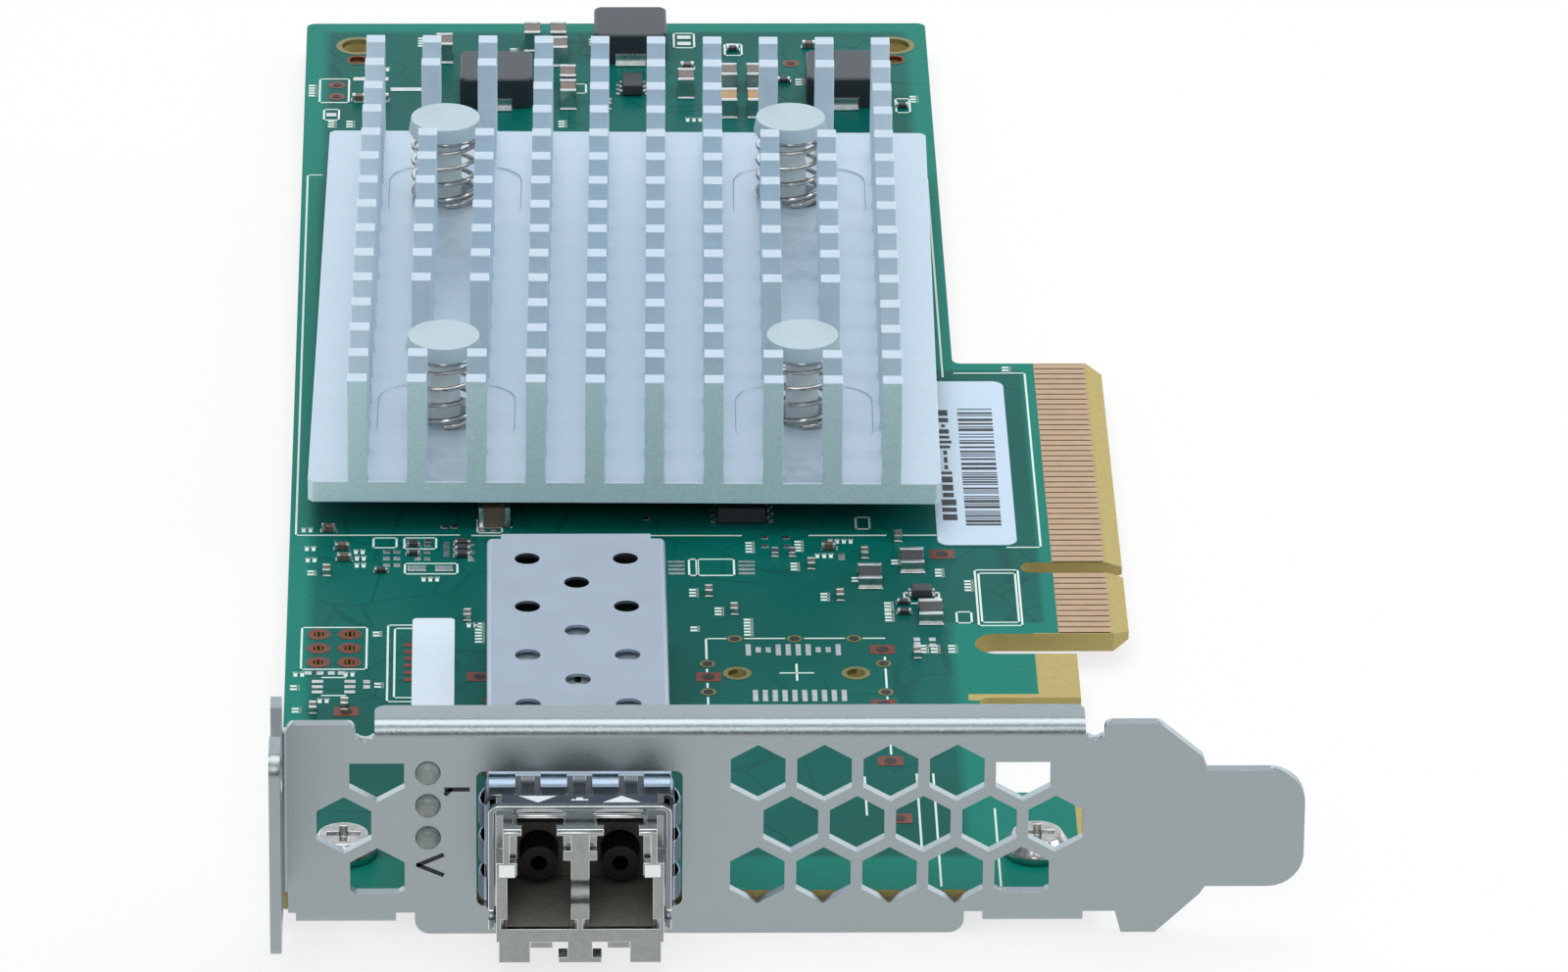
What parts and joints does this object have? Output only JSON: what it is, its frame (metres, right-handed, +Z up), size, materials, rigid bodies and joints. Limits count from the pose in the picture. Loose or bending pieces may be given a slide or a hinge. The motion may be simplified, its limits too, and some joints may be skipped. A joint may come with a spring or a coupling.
{
  "type": "fibre channel adapter",
  "caption": "Low-profile expansion card with a vented bracket, an optical transceiver in a sheet cage, a pin-fin heatsink and a gold edge tab.",
  "frame": {"origin": "on the component side of the board, at the tip of the contact tab, on the centre line of the key notch", "axes": "+X out of the contact tab, +Y from the bracket to the rear of the card, +Z up from the component side"},
  "size_m": [0.0791, 0.1803, 0.0206],
  "materials": {
    "solder_mask": "green solder mask on glass laminate",
    "gold": "gold plating",
    "nickel_plate": "nickel-plated steel",
    "screw_steel": "bright zinc",
    "cage_metal": "tinned copper alloy",
    "spring_steel": "bright spring steel",
    "die_cast": "nickel-plated die casting",
    "anodised_aluminium": "satin",
    "black_plastic": "black moulding",
    "dark_resin": "moulding compound",
    "dark_strip": "satin print film",
    "clear_plastic": "clear polycarbonate",
    "white_nylon": "natural nylon",
    "ceramic": "brown ceramic with tinned ends",
    "tan_ceramic": "tan moulding with tinned ends",
    "grey_pad": "soft thermal pad",
    "paper": "white label stock"
  },
  "bodies": {
    "card": {"circuit_board": "solder_mask", "contact_fingers": "gold", "bracket": "nickel_plate", "bracket_screws": "screw_steel", "sfp_cage": "cage_metal", "cage_spring_collar": "spring_steel", "host_connector": "black_plastic", "transceiver_housing": "die_cast", "port_liners": "black_plastic", "transceiver_cover": "nickel_plate", "transceiver_board": "solder_mask", "driver_chip": "dark_resin", "transmitter_barrel": "screw_steel", "receiver_barrel": "screw_steel", "port_mark_strip": "dark_strip", "light_guide": "clear_plastic", "status_leds": "white_nylon", "controller_chip": "dark_resin", "thermal_pad": "grey_pad", "heatsink": "anodised_aluminium", "push_pins": "white_nylon", "push_pin_springs": "spring_steel", "power_inductor_left": "dark_resin", "power_inductor_middle": "dark_resin", "power_inductor_right": "dark_resin", "ceramic_capacitors": "ceramic", "tantalum_capacitors": "tan_ceramic", "small_capacitors": "ceramic", "chip_resistors": "dark_resin", "resistor_pack": "dark_resin", "fuses": "dark_resin", "regulator_chip": "dark_resin", "transistor": "dark_resin", "memory_chip": "dark_resin", "coupling_capacitors": "ceramic", "bypass_capacitors": "ceramic", "code_label": "paper", "blank_label": "paper"},
    "bail": {"bail_latch": "spring_steel"}
  },
  "joints": [
    {"name": "bail_swing", "type": "hinge", "parent": "card", "child": "bail", "pos_m": [-0.0445, -0.06324, 0.0012], "axis": [1, 0, 0], "range_deg": [0, 90]}
  ]
}
